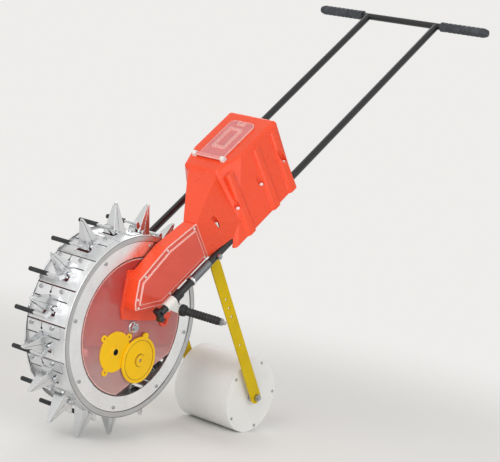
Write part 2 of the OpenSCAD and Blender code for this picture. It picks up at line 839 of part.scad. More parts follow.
// Chute
module chute_body() {
    color("#ee5530") machine() difference() {
        union() {
            tube_slab(chute_y0, chute_y1) polygon(chute_outline);
            slab(disc_y1, foot_plate_y) difference() {
                union() {
                    polygon(foot_plate);
                    translate([eye_x, eye_z]) circle(r = eye_r);
                }
                translate([eye_x, eye_z]) circle(r = eye_hole_r);
            }
        }
        along_tube() rod(stud_r + fit_gap, disc_y1 - over, foot_plate_y + over, -stud_s, tube_rise);
        tube_slab(chute_y0 + shell_wall, chute_y1 + 1) union() {
            offset(delta = -shell_wall) polygon(chute_outline);
            translate([neck_s - 20, chute_foot_p + shell_wall])
                square([30, chute_back_p - chute_foot_p - 2 * shell_wall]);
        }
        tube_slab(disc_y1 - 1, chute_y1) translate([outlet[0], outlet[1]])
            square([outlet[2] - outlet[0], outlet[3] - outlet[1]]);
    }
}

module chute_cover() {
    color("#f0807080") machine() difference() {
        union() {
            tube_slab(chute_y1, chute_y1 + chute_cover_t) polygon(chute_outline);
            tube_slab(chute_y1 + chute_cover_t, chute_y1 + chute_cover_t + panel_h)
                offset(delta = -panel_inset) polygon(chute_outline);
        }
        along_tube() for (at = chute_screw_at)
            rod(chute_screw_r + fit_gap, chute_y1 - 1, chute_y1 + chute_cover_t + 1, -at[0], at[1]);
    }
}

// Metering chamber
module chamber_cover() {
    color("#d8505080") machine() difference() {
        rod(disc_r, disc_y0, disc_y1);
        rod(axle_r + fit_gap, disc_y0 - 1, disc_y1 + 1);
        rod(meter_port_r, disc_y0 - 1, disc_y1 + 1, meter_x, meter_z);
        rod(brush_port_r, disc_y0 - 1, disc_y1 + 1, brush_x, brush_z);
        rotate([0, -chord_a, 0]) translate([chord_d, disc_y0 - over, -disc_r])
            cube([disc_r, disc_t + 2 * over, 2 * disc_r]);
        tube_slab(disc_y0 - 1, disc_y1 + 1) translate([outlet[0], outlet[1]])
            square([outlet[2] - outlet[0], outlet[3] - outlet[1]]);
        along_tube() rod(stud_r + fit_gap, disc_y0 - 1, disc_y1 + 1, -stud_s, tube_rise);
    }
}

// Part of a disc above the chamber floor
module above_floor(r, lift) {
    intersection() {
        circle(r = r);
        translate([-r, house_floor_z - lift]) square([2 * r, 2 * r]);
    }
}

module chamber_housing() {
    boss_y0 = gear_y1 + 2;
    color("#e2553c") machine() difference() {
        union() {
            slab(house_back_y - house_back_t, house_back_y) union() {
                above_floor(house_r, house_floor_t);
                translate([meter_x, meter_z]) circle(r = seed_roller_r + case_gap + house_t);
                translate([brush_x, brush_z]) circle(r = brush_port_r - 4);
            }
            slab(house_back_y, disc_y0) difference() {
                above_floor(house_r, house_floor_t);
                above_floor(house_r - house_t, 0);
            }
            slab(house_back_y, disc_y0) intersection() {
                translate([meter_x, meter_z]) difference() {
                    circle(r = seed_roller_r + case_gap + house_t);
                    circle(r = seed_roller_r + case_gap);
                }
                translate([meter_x - 60, meter_z - 20]) square([50, house_floor_z - meter_z + 18]);
            }
            rod(axle_r + 6, house_back_y - house_back_t, disc_y0);
            rod(meter_shaft_r + 5, boss_y0, house_back_y, meter_x, meter_z);
            along_tube() rod(stud_r + 6, house_back_y, disc_y0, -stud_s, tube_rise);
        }
        rod(axle_r + fit_gap, 0, disc_y1);
        rod(meter_shaft_r + run_gap, boss_y0 - 1, disc_y1, meter_x, meter_z);
        translate([meter_x - seed_roller_r - case_gap, roller_y0 - 2, house_floor_z - house_floor_t - 1])
            cube([2 * (seed_roller_r + case_gap), roller_y1 - roller_y0 + 4, house_floor_t + 2]);
        along_tube() rod(stud_r + fit_gap, disc_y0 - 20, disc_y1, -stud_s, tube_rise);
    }
}

// Dished yellow cap over the metering roller
module meter_cover() {
    cap_r = 58;
    y0 = disc_y1 + 3.5;
    color("#f6c40e") machine() translate([meter_x, 0, meter_z]) difference() {
        union() {
            across() rotate_extrude() polygon([
                [meter_shaft_r + run_gap, disc_y0 + 2], [12, disc_y0 + 2], [14, y0],
                [meter_port_r - 6, y0], [meter_port_r - 6, disc_y0], [meter_port_r - fit_gap, disc_y0],
                [meter_port_r - fit_gap, y0], [cap_r, y0], [cap_r, y0 + 4], [cap_r - 5, y0 + 5.5],
                [cap_r - 9, y0 + 3.5], [22, y0 + 6], [15, y0 + 6], [14, y0 + 9],
                [meter_shaft_r + run_gap, y0 + 9]
            ]);
            rod(9, y0, y0 + 5, -10, cap_r + 1);
        }
    }
}

// Flat yellow plate with three lugs over the brush
module brush_cover() {
    plate_r = 50;
    lug_a = [37, 140, -65];
    lug_r = 9;
    lug_at = plate_r + 5;
    ring_r = 14;
    ring_h = 2.5;
    hole_r = 8;
    y1 = disc_y1 + 3;
    color("#f4c010") machine() translate([brush_x, 0, brush_z]) difference() {
        union() {
            rod(plate_r, disc_y1, y1);
            rod(brush_port_r - fit_gap, disc_y0, disc_y1);
            rod(ring_r, y1, y1 + ring_h);
            for (a = lug_a) rod(lug_r, disc_y1, y1, lug_at * cos(a), lug_at * sin(a));
        }
        rod(hole_r, disc_y1, y1 + ring_h + over);
        for (a = lug_a) rod(screw_r, disc_y1 - over, y1 + over, lug_at * cos(a), lug_at * sin(a));
        rod(meter_port_r + free_gap, disc_y1, y1 + over, meter_x - brush_x, meter_z - brush_z);
    }
}

// Brush that strokes the metering roller, on a stem under its cover
module brush() {
    aim = atan2(brush_z - meter_z, brush_x - meter_x);
    reach = norm([brush_x - meter_x, brush_z - meter_z]);
    tip = seed_roller_r + 0.5;
    color("#3b3b3d") machine() union() {
        translate([meter_x, 0, meter_z]) rotate([0, -aim, 0])
            translate([tip, roller_y0 + 2, -6]) cube([reach - tip + 8, roller_y1 - roller_y0 - 4, 12]);
        rod(8, roller_y0 + 6, disc_y0, brush_x, brush_z);
    }
}

module seed_roller() {
    color("#c9cccf") machine() translate([meter_x, 0, meter_z]) difference() {
        sleeve(seed_roller_r, meter_shaft_r + run_gap, roller_y0, roller_y1);
        for (i = [0 : pocket_count - 1]) rotate([0, i * 360 / pocket_count, 0])
            translate([0, (roller_y0 + roller_y1) / 2, seed_roller_r - pocket_depth])
                cylinder(r = pocket_r, h = 2 * pocket_depth);
    }
}

// Involute gear outline; grow > 1 widens the teeth, grow < 1 thins them
function unwind(ratio) = sqrt(max(ratio * ratio - 1, 0));
function involute(ratio) = unwind(ratio) * 180 / PI - atan(unwind(ratio));
function flank(r, teeth, grow) = 90 / teeth * grow + involute(1 / cos(gear_pressure))
    - involute(2 * r / (gear_module * teeth * cos(gear_pressure)));
function gear_outline(teeth, r0, r1, grow) = [
    for (i = [0 : teeth - 1]) for (side = [-1, 1]) for (j = [0 : 3])
        let (r = r0 + (r1 - r0) * (side < 0 ? j : 3 - j) / 3)
        let (a = i * 360 / teeth + side * flank(r, teeth, grow))
        [r * cos(a), r * sin(a)]
];
module meter_pinion() {
    pitch_r = gear_module * gear_pinion_teeth / 2;
    root_r = pitch_r - gear_ded * gear_module;
    tip = pitch_r + gear_add * gear_module;
    color("#b9bcc0") machine() translate([meter_x, 0, meter_z])
        slab(gear_y0 + 1, gear_y1 - 1) difference() {
            rotate(meter_a) polygon(gear_outline(gear_pinion_teeth, root_r, tip, 1 - gear_slack));
            circle(r = meter_shaft_r + run_gap);
        }
}

module meter_shaft() {
    color("#c4c7ca") machine() rod(meter_shaft_r, gear_y0 + 1, disc_y1 + 10, meter_x, meter_z);
}

// Axle and right bracket
module axle() {
    reach = axle_washer_t + axle_nut_h + axle_over;
    color("#b4b7ba") machine() rod(axle_r, plate_y1 - reach, disc_y1 + reach);
}

// Nuts and washers at both ends, spacers along the axle and the stud of the chamber
module axle_hardware() {
    bore = axle_r + fit_gap;
    left_y = disc_y1 + axle_washer_t;
    right_y = plate_y1 - axle_washer_t;
    color("#c8cacc") machine() {
        sleeve(axle_washer_r, bore, disc_y1, left_y);
        difference() {
            hex(axle_nut_r, left_y, left_y + axle_nut_h);
            rod(bore, disc_y1, left_y + axle_nut_h + over);
        }
        sleeve(axle_washer_r, bore, hub_y1 + hub_gap, house_back_y - house_back_t);
        sleeve(axle_washer_r, bore, plate_y0, hub_y0 - hub_gap);
        sleeve(axle_washer_r, bore, right_y, plate_y1);
        difference() {
            hex(axle_nut_r, right_y - axle_nut_h, right_y);
            rod(bore, right_y - axle_nut_h - over, plate_y1);
        }
        along_tube() rod(stud_r, disc_y0 - 18, tube_y - tube_r - 1, -stud_s, tube_rise);
    }
}

// Flat bracket from the right tube's foot to the axle
module axle_plate() {
    color("#34373a") machine() difference() {
        slab(plate_y1, plate_y0) hull() {
            circle(r = plate_axle_r);
            rotate(180 - handle_angle) translate([plate_end_s, -tube_rise]) circle(r = plate_end_r);
        }
        rod(axle_r + fit_gap, plate_y1 - over, plate_y0 + over);
        along_tube() for (s = plate_bolt_s)
            rod(screw_r + fit_gap, plate_y1 - over, plate_y0 + over, -s, tube_rise);
    }
}

// Wheel
module rim(side) {
    color("#d2d4d6") machine() mirror([0, side < 0 ? 1 : 0, 0]) difference() {
        across() rotate_extrude($fn = 96) polygon([
            [ring_inner_r, seg_hw], [rim_r, seg_hw], [rim_r, half_w + band_h - 1],
            [rim_r - 1, half_w + band_h], [rim_r - band_w + 1, half_w + band_h],
            [rim_r - band_w, half_w], [ring_inner_r, half_w]
        ]);
        for (k = [1 : 2 : beak_count - 1]) at_beak(k)
            rod(screw_r + fit_gap, seg_hw - 1, half_w + 1, ring_screw_x, ring_screw_r);
    }
}

module rim_left() {
    rim(1);
}

module rim_right() {
    rim(-1);
}

module wheel_web() {
    hole_count = 8;
    hole_r = 24;
    hole_at = 80;
    color("#9fa3a7") machine() difference() {
        rod(web_r, web_y0, web_y0 + web_t);
        rod(hub_r + fit_gap, web_y0 - 1, web_y0 + web_t + 1);
        for (i = [0 : hole_count - 1])
            rod(hole_r, web_y0 - 1, web_y0 + web_t + 1, hole_at * cos(i * 45), hole_at * sin(i * 45));
    }
}

module wheel_hub() {
    color("#8f9397") machine() difference() {
        union() {
            rod(hub_r, hub_y0, hub_y1);
            rod(hub_flange_r, web_y0 - 5, web_y0);
        }
        rod(axle_r + run_gap, hub_y0 - 1, hub_y1 + 1);
    }
}

module ring_gear() {
    pitch_r = gear_module * gear_ring_teeth / 2;
    tip = pitch_r - gear_add * gear_module;
    root_r = pitch_r + gear_ded * gear_module;
    color("#7e8286") machine() slab(gear_y0, gear_y1) difference() {
        circle(r = root_r + gear_rim, $fn = 96);
        rotate(meter_a) polygon(gear_outline(gear_ring_teeth, tip, root_r, 1 + gear_slack));
    }
}

// Opening through a deck and a base plate under both halves of a beak
module seed_opening(z0, z1) {
    translate([-beak_back + beak_sheet, -beak_base_w / 2 + beak_sheet, z0])
        cube([beak_back, beak_base_w - 2 * beak_sheet, z1 - z0]);
    translate([0, -lug_in, z0]) cube([opening_front, 2 * lug_in, z1 - z0]);
}

module beak_bolt_holes(r, z0, z1) {
    for (y = beak_bolt_y) translate([beak_bolt_x, y, z0]) cylinder(r = r, h = z1 - z0);
}

module deck_segment() {
    difference() {
        union() {
            translate([-deck_half, -seg_hw, deck_r - deck_t]) cube([2 * deck_half, 2 * seg_hw, deck_t]);
            for (y0 = [-seg_hw, seg_hw - deck_t]) slab(y0, y0 + deck_t) polygon([
                [-deck_half, deck_r - deck_t], [deck_half, deck_r - deck_t],
                [flange_half, flange_r], [-flange_half, flange_r]
            ]);
        }
        seed_opening(deck_r - deck_t - 1, deck_r + 1);
        beak_bolt_holes(screw_r + fit_gap, deck_r - deck_t - 1, deck_r + 1);
        rod(screw_r + fit_gap, -half_w, half_w, ring_screw_x, ring_screw_r);
    }
}

module deck_segments() {
    color("#dadcde") machine() for (k = [0 : beak_count - 1]) at_beak(k) deck_segment();
}

// Fixed half of a beak on its T-shaped base plate, with the eyes of the moving half
module fixed_beak() {
    hw = beak_base_w / 2;
    tw = beak_tip_w / 2;
    difference() {
        union() {
            translate([0, 0, deck_r]) linear_extrude(beak_sheet) union() {
                translate([base_x0, base_y0]) square([base_step_x - base_x0, base_y1 - base_y0]);
                translate([base_step_x, -base_tongue_hw])
                    square([base_x1 - base_step_x, 2 * base_tongue_hw]);
            }
            beak_wedge(-beak_back, -tip_flat, 0, base_top, tip_r, hw, tw);
            for (side = [0, 1]) mirror([0, side, 0]) slab(lug_in, lug_in + lug_t) {
                translate([flap_pin_x, flap_pin_z]) circle(r = lug_half);
                translate([flap_pin_x - lug_half, deck_r]) square([2 * lug_half, flap_pin_z - deck_r]);
            }
        }
        translate([0.5, 0, 0]) beak_wedge(-beak_back + beak_sheet, -1, 0, base_top - 1, tip_r - 12,
            hw - beak_sheet, tw - beak_sheet + 1);
        seed_opening(deck_r - 1, base_top);
        beak_bolt_holes(screw_r + fit_gap, deck_r - 1, base_top + 1);
        rod(flap_pin_r + run_gap, -base_tongue_hw - 1, base_tongue_hw + 1, flap_pin_x, flap_pin_z);
    }
}

module fixed_beaks() {
    color("#e4e6e8") machine() for (k = [0 : beak_count - 1]) at_beak(k) fixed_beak();
}

// Hexagon bolts of the base plates and button screws of the side rings
module wheel_bolts() {
    color("#a9adb1") machine() for (k = [0 : beak_count - 1]) at_beak(k) {
        beak_bolt_holes(screw_r, deck_r - deck_t - 3, base_top);
        for (y = beak_bolt_y) translate([beak_bolt_x, y, base_top])
            cylinder(r = bolt_head_r, h = bolt_head_h, $fn = 6);
        if (k % 2 == 1) for (side = [0, 1]) mirror([0, side, 0]) {
            rod(screw_r, seg_hw - deck_t - 3, half_w, ring_screw_x, ring_screw_r);
            rod(bolt_head_r - 1, half_w, half_w + 2, ring_screw_x, ring_screw_r);
        }
    }
}

// Moving half of a beak with its pin stubs, lever and bar, and the rubber on the bar
module flap(k) {
    z1 = tip_r - flap_short;
    hw0 = beak_hw(flap_base_z);
    hw1 = beak_hw(z1);
    bar_z = deck_r + bar_rise;
    color("#c7cacd") machine() at_beak(k) {
        union() {
            difference() {
                beak_wedge(flap_front, split_gap + 2.5, split_gap, flap_base_z, z1, hw0, hw1);
                translate([-0.5, 0, 0]) beak_wedge(flap_front - beak_sheet, split_gap + 1, split_gap,
                    flap_base_z - 1, z1 - 12, hw0 - beak_sheet, hw1 - beak_sheet + 1);
            }
            for (side = [0, 1]) mirror([0, side, 0])
                rod(flap_pin_r, hw0 - beak_sheet, lug_in + lug_t, flap_pin_x, flap_pin_z);
            slab(lever_y0, lever_y1) polygon([
                [flap_front - 4, flap_base_z], [flap_front, flap_base_z], [bar_lead + 4.5, bar_z - 3],
                [bar_lead - 3, bar_z + 4.5], [flap_front - 5, flap_base_z + 12]
            ]);
            rod(bar_r + 2, lever_y0, lever_y1, bar_lead, bar_z);
            rod(bar_r, sleeve_y0, lever_y0 + 1, bar_lead, bar_z);
        }
        sleeve(sleeve_r, bar_r + run_gap, sleeve_y0, sleeve_y0 + sleeve_len, bar_lead, bar_z);
    }
}

// Press roller
module arm(y0, y1) {
    color("#d9b400") machine() translate([arm_pivot_x, 0, arm_pivot_z]) difference() {
        slab(y0, y1) rotate(arm_dir) difference() {
            union() {
                circle(r = arm_end_r);
                polygon([
                    [0, -arm_end_r], [arm_w, -arm_w / 2], [arm_len, -arm_w / 2],
                    [arm_len, arm_w / 2], [arm_w, arm_w / 2], [0, arm_end_r]
                ]);
                translate([arm_len, 0]) circle(r = arm_w / 2);
            }
            circle(r = pivot_r + run_gap);
            translate([arm_len, 0]) circle(r = roller_axle_r + fit_gap);
            for (f = arm_holes) translate([f * arm_len, 0]) circle(r = arm_hole_r);
        }
    }
}

module arm_left() {
    arm(arm_y0, arm_y1);
}

module arm_right() {
    arm(-arm_y1, -arm_y0);
}

// Pivot bolts that hang the arms from the tubes
module arm_bolts() {
    nut_y = tube_y + tube_r;
    color("#b0b3b6") machine() for (side = [0, 1]) mirror([0, side, 0]) {
        rod(pivot_r, arm_y0 - 0.3, nut_y + 8, arm_pivot_x, arm_pivot_z);
        hex(8, arm_y0 - 6, arm_y0 - 0.3, arm_pivot_x, arm_pivot_z);
        difference() {
            hex(8, nut_y, nut_y + 6, arm_pivot_x, arm_pivot_z);
            rod(pivot_r + fit_gap, nut_y - 1, nut_y + 9, arm_pivot_x, arm_pivot_z);
        }
    }
}

module roller_drum() {
    y1 = roller_len / 2 - cap_t;
    color("#dfdfde") machine() difference() {
        rod(roller_r, -y1, y1, roller_x, roller_z);
        rod(roller_r - roller_shell, -y1 - 1, y1 + 1, roller_x, roller_z);
    }
}

// End plates with their bushes and screws
module roller_caps() {
    color("#e2e2e1") machine() translate([roller_x, 0, roller_z]) for (side = [0, 1]) mirror([0, side, 0]) {
        y1 = roller_len / 2;
        difference() {
            union() {
                rod(roller_r, y1 - cap_t, y1);
                rod(bush_r, y1, y1 + bush_len);
                for (i = [0 : cap_screws - 1])
                    rod(4, y1, y1 + 1.5, cap_screw_r * cos(72 * i - 41), cap_screw_r * sin(72 * i - 41));
            }
            rod(roller_axle_r + run_gap, y1 - cap_t - 1, y1 + bush_len + 1);
        }
    }
}

module roller_axle() {
    reach = arm_y1 + roller_nut_h + roller_axle_over;
    color("#a6a9ac") machine() translate([roller_x, 0, roller_z]) {
        rod(roller_axle_r, -reach, reach);
        for (side = [0, 1]) mirror([0, side, 0]) {
            sleeve(roller_nut_r, roller_axle_r + fit_gap, roller_len / 2 + bush_len + bush_gap, arm_y0);
            difference() {
                hex(roller_nut_r, arm_y1, arm_y1 + roller_nut_h);
                rod(roller_axle_r + fit_gap, arm_y1 - over, arm_y1 + roller_nut_h + over);
            }
        }
    }
}

handle_tube_left();
handle_tube_right();
crossbar();
grip_left();
grip_right();
tube_sleeves();
tube_fittings();
tube_tee();
side_peg();
hopper_upper();
hopper_lower();
hopper_straps();
body_screws();
lid();
lid_hinge();
chute_body();
chute_cover();
chamber_cover();
chamber_housing();
meter_cover();
brush_cover();
brush();
seed_roller();
meter_pinion();
meter_shaft();
axle();
axle_hardware();
axle_plate();
rim_left();
rim_right();
wheel_web();
wheel_hub();
ring_gear();
deck_segments();
fixed_beaks();
wheel_bolts();
for (k = [0 : beak_count - 1]) flap(k);
arm_left();
arm_right();
arm_bolts();
roller_drum();
roller_caps();
roller_axle();
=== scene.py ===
import json
import math

import bpy
from mathutils import Matrix, Vector


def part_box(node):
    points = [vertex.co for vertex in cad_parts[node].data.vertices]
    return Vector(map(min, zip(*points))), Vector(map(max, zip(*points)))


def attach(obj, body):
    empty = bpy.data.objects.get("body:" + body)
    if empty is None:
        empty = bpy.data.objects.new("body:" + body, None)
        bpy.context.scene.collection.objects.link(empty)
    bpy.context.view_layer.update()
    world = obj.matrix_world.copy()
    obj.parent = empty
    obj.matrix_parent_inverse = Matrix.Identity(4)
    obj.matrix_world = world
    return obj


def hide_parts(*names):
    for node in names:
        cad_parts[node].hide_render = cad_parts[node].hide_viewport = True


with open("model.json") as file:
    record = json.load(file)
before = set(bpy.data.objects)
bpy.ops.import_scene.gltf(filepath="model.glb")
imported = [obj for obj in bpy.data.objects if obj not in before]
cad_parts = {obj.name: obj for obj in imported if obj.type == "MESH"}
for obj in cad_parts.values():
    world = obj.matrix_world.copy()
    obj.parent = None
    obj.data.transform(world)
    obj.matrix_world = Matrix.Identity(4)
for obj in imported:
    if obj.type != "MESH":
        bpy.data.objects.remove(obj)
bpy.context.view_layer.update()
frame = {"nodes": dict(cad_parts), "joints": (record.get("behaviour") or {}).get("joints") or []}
nodes = frame["nodes"]
joints = {j["name"]: j for j in frame["joints"]}
scene = bpy.context.scene

MM = 0.001
NEAR = 0.1 * MM

AXLE = Vector(joints["wheel_spin"]["pos_m"])
METER = Vector(joints["meter_spin"]["pos_m"])
FLAPS = sorted(n for n in nodes if n.startswith("flap_"))

# Sizes shared with the solids
BEAK_PITCH = math.tau / len(FLAPS)
BASE_TOP_R = 221 * MM
BASE_SLOT_LEAD = (-41 * MM, -27 * MM)
BASE_SLOT_Y = -14 * MM
BASE_SLOT_HALF = 1.1 * MM
BASE_SLOT_EYE = 3.2 * MM
BASE_STEP_LEAD = -12.4 * MM
BASE_STEP_HALF = 1.4 * MM
RIM_R = 225 * MM
BAND_W = 15 * MM
BAND_INNER_HALF = 0.9 * MM
BAND_OUTER_IN = 2 * MM
BAND_OUTER_HALF = 0.6 * MM
BAND_FACE_IN = 0.3 * MM
FLAP_PIN_LEAD = 8 * MM
FLAP_PIN_R = 226 * MM
BAR_LEAD = 29 * MM
BAR_R = 240 * MM
BAR_RADIUS = 3.5 * MM
SLEEVE_END_Y = -30 * MM
SLEEVE_LAP = 1 * MM
PEG_SLEEVE_END_Y = 255.5 * MM
BRUSH_BORE_AT = Vector((48 * MM, -60 * MM))
BRUSH_BORE_R = 8 * MM
DISH_LIP_R = 49.4 * MM
DISH_BOSS_R = 15.4 * MM
DISH_GROOVE_SHADE_HALF = 1.3 * MM
ROLLER_CAP_T = 4 * MM
ARM_GAUGE = 23 * MM
ARM_EYE_REACH = 8 * MM
TUBE_Y = 117 * MM
SEAM_HEAD_TOP = Vector((164.65, 110.7, 545.49)) * MM
SLEEVE_LOW_END = Vector((241.0, 0, 410.9)) * MM
HANDLE_SLOPE = math.radians(40)

# Directions along the handle tubes and square to them
TUBE_RUN = Vector((-math.cos(HANDLE_SLOPE), 0, math.sin(HANDLE_SLOPE)))
SEAM_UP = Vector((math.sin(HANDLE_SLOPE), 0, math.cos(HANDLE_SLOPE)))


# Node helpers

def socket_name(word):
    return word.replace("_", " ").title().replace("Ior", "IOR")


class Shader:
    """A material whose Principled shader gets its colour, roughness and relief from noise."""

    def __init__(self, name, **constants):
        self.mat = bpy.data.materials.new(name)
        self.mat.use_nodes = True
        self.tree = self.mat.node_tree
        self.bsdf = self.tree.nodes["Principled BSDF"]
        for socket, value in constants.items():
            self.bsdf.inputs[socket_name(socket)].default_value = value
        self.coords = self.add("ShaderNodeTexCoord").outputs["Object"]
        self.normal = None

    def add(self, kind, **inputs):
        node = self.tree.nodes.new(kind)
        for socket, value in inputs.items():
            self.feed(node.inputs[socket_name(socket)], value)
        return node

    def feed(self, socket, value):
        if isinstance(value, bpy.types.NodeSocket):
            self.tree.links.new(value, socket)
        else:
            socket.default_value = value

    def stretched(self, scale, turn=(0, 0, 0)):
        node = self.add("ShaderNodeMapping", vector=self.coords)
        node.inputs["Scale"].default_value = scale
        node.inputs["Rotation"].default_value = turn
        return node.outputs["Vector"]

    def noise(self, scale, detail=3.0, rough=0.55, vector=None):
        node = self.add("ShaderNodeTexNoise", vector=vector or self.coords, scale=scale,
                        detail=detail, roughness=rough)
        return node.outputs["Fac"]

    def spread(self, value, low, high, start=0.3, end=0.7):
        node = self.add("ShaderNodeMapRange", value=value, from_min=start, from_max=end,
                        to_min=low, to_max=high)
        return node.outputs["Result"]

    def mix(self, factor, first, second):
        node = self.tree.nodes.new("ShaderNodeMix")
        node.data_type = "RGBA"
        self.feed(node.inputs["Factor"], factor)
        self.feed(node.inputs["A"], first)
        self.feed(node.inputs["B"], second)
        return node.outputs["Result"]

    def math(self, operation, *values):
        node = self.tree.nodes.new("ShaderNodeMath")
        node.operation = operation
        for socket, value in zip(node.inputs, values):
            self.feed(socket, value)
        return node.outputs["Value"]

    def hypot(self, a, b):
        squares = self.math("ADD", self.math("MULTIPLY", a, a), self.math("MULTIPLY", b, b))
        return self.math("SQRT", squares)

    def round_axis(self, axis):
        """Offsets forward and up from an axis across the machine, and the place along it."""
        split = self.add("ShaderNodeSeparateXYZ", vector=self.coords).outputs
        x = self.math("SUBTRACT", split["X"], axis.x)
        z = self.math("SUBTRACT", split["Z"], axis.z)
        return x, z, split["Y"]

    def edges(self, radius, low=0.02, high=0.25):
        """Mask that is 1 along sharp edges, and a normal that rounds them."""
        bevel = self.add("ShaderNodeBevel", radius=radius)
        bevel.samples = 6
        geometry = self.add("ShaderNodeNewGeometry")
        dot = self.tree.nodes.new("ShaderNodeVectorMath")
        dot.operation = "DOT_PRODUCT"
        self.feed(dot.inputs[0], bevel.outputs["Normal"])
        self.feed(dot.inputs[1], geometry.outputs["Normal"])
        self.normal = bevel.outputs["Normal"]
        return self.spread(dot.outputs["Value"], 1.0, 0.0, 1 - high, 1 - low)

    def bump(self, height, strength, distance):
        node = self.add("ShaderNodeBump", height=height, strength=strength, distance=distance)
        if self.normal is not None:
            self.feed(node.inputs["Normal"], self.normal)
        self.normal = node.outputs["Normal"]

    def done(self, color=None, roughness=None):
        if color is not None:
            self.feed(self.bsdf.inputs["Base Color"], color)
        if roughness is not None:
            self.feed(self.bsdf.inputs["Roughness"], roughness)
        if self.normal is not None:
            self.feed(self.bsdf.inputs["Normal"], self.normal)
        return self.mat


def linear(red, green, blue):
    """Colour of the shader from the 0 to 255 values that a screen shows."""
    def channel(v):
        v /= 255
        return v / 12.92 if v <= 0.04045 else ((v + 0.055) / 1.055) ** 2.4
    return (channel(red), channel(green), channel(blue), 1.0)


def shade(color, factor):
    return tuple(min(c * factor, 1.0) for c in color[:3]) + (1.0,)


def beak_turn(flap):
    """Angle of a beak round the axle, from the place of its hinge."""
    pin = Vector(joints[flap + "_open"]["pos_m"]) - AXLE
    return math.atan2(pin.x, pin.z) - math.atan2(FLAP_PIN_LEAD, FLAP_PIN_R)


# Materials

# Dark tone of painted shade in the slots of the beak bases and along the band of the side rings, and of
# a painted darker reflection on the band's face
SHADE_AND_REFLECTION_DARK = linear(48, 50, 52)
# Strength of the painted shade along the band's edges and of the painted darker reflection on its face
BAND_EDGE_SHADE = 0.85
BAND_FACE_REFLECTION = 0.4
EDGE_GLOW = linear(255, 206, 198)
# Dark amber painted as shade in the grooves of the dished cover
GROOVE_SHADE = linear(150, 106, 10)
# Reach of the paler tone towards the bottom of the red clear sheet
LOWER_PALE_DRIFT = 60 * MM
LOWER_PALE_FULL = -110 * MM
LOWER_PALE_NONE = 150 * MM


def dish_groove_shade(s):
    """Mask of painted shade in the dished cover: inside its lip and round its boss."""
    x, z, _ = s.round_axis(METER)
    radius = s.hypot(x, z)
    lip = s.math("COMPARE", radius, DISH_LIP_R, DISH_GROOVE_SHADE_HALF)
    boss = s.math("COMPARE", radius, DISH_BOSS_R, DISH_GROOVE_SHADE_HALF)
    patchy = s.spread(s.noise(scale=30, detail=4), low=0.45, high=0.9)
    return s.math("MULTIPLY", s.math("MAXIMUM", lip, boss), patchy)


def moulded_plastic(name, color, gloss=0.3, wear=0.2, shine=0.4, groove_shade=None):
    """Glossy injection moulding: cloudy tone, soft sink marks, fine skin and paler rubbed edges."""
    s = Shader(name, specular_ior_level=shine)
    edge = s.edges(1.0 * MM)
    cloud = s.spread(s.noise(scale=7, detail=3), 0, 1)
    body = s.mix(cloud, shade(color, 0.95), shade(color, 1.04))
    scuff = s.noise(scale=320, detail=5, vector=s.stretched((1.0, 0.25, 0.6)))
    scuff = s.spread(scuff, low=0.0, high=0.16, start=0.55, end=0.75)
    rubbed = tuple(c + (1 - c) * wear for c in color[:3]) + (1.0,)
    body = s.mix(scuff, body, rubbed)
    body = s.mix(edge, body, rubbed)
    # Painted shade in grooves, where a mask for it is given
    if groove_shade:
        body = s.mix(groove_shade(s), body, GROOVE_SHADE)
    s.bump(s.noise(scale=16, detail=2), strength=0.12, distance=1.5 * MM)
    s.bump(s.noise(scale=900, detail=1), strength=0.05, distance=0.15 * MM)
    return s.done(body, s.spread(s.noise(scale=45, detail=5), low=gloss - 0.06, high=gloss + 0.12))


def clear_plastic(name, color, clear, rough=0.08, rim=4 * MM, pale_tone=None):
    """Tinted clear sheet with flow marks, faint scratches, a wavy face and a painted highlight where
    light is caught in its edges.
    """
    s = Shader(name, ior=1.46, specular_ior_level=0.4)
    edge = s.edges(rim, low=0.003, high=0.05)
    through = s.spread(edge, low=clear, high=clear / 4, start=0, end=1)
    s.feed(s.bsdf.inputs["Transmission Weight"], through)
    s.edges(0.8 * MM)
    flow = s.noise(scale=14, detail=3, vector=s.stretched((1.0, 0.2, 3.0)))
    body = s.mix(s.spread(flow, 0, 1), shade(color, 0.94), shade(color, 1.06))
    # Paler tone towards the bottom of the sheet, with a wavering edge
    if pale_tone:
        drift = s.spread(s.noise(scale=9, detail=5), low=-LOWER_PALE_DRIFT, high=LOWER_PALE_DRIFT)
        height = s.math("ADD", s.round_axis(AXLE)[1], drift)
        body = s.mix(s.spread(height, low=1, high=0, start=LOWER_PALE_FULL, end=LOWER_PALE_NONE), body, pale_tone)
    body = s.mix(edge, body, EDGE_GLOW)
    scratch = s.noise(scale=420, detail=4, vector=s.stretched((0.08, 1.0, 1.0), turn=(0, 0.6, 0)))
    s.bump(s.noise(scale=24, detail=2), strength=0.06, distance=0.6 * MM)
    return s.done(body, s.spread(scratch, low=rough, high=rough + 0.16, start=0.5, end=0.75))


def plate_slot_shade(s):
    """Mask of painted shade in the slot, its round end and the parting line that the beak bases repeat
    round the axle.
    """
    x, z, y = s.round_axis(AXLE)
    turn = s.math("SUBTRACT", s.math("ARCTAN2", x, z), beak_turn(FLAPS[0]))
    turn = s.math("WRAP", turn, BEAK_PITCH / 2, -BEAK_PITCH / 2)
    lead = s.math("MULTIPLY", s.math("SINE", turn), BASE_TOP_R)
    across = s.math("SUBTRACT", y, BASE_SLOT_Y)
    start, end = BASE_SLOT_LEAD
    slot = s.math("MULTIPLY", s.math("COMPARE", across, 0.0, BASE_SLOT_HALF),
                  s.math("COMPARE", lead, (start + end) / 2, (end - start) / 2))
    past = s.math("SUBTRACT", lead, end)
    eye = s.math("LESS_THAN", s.hypot(past, across), BASE_SLOT_EYE)
    step = s.math("COMPARE", lead, BASE_STEP_LEAD, BASE_STEP_HALF)
    return s.math("MAXIMUM", s.math("MAXIMUM", slot, eye), step)


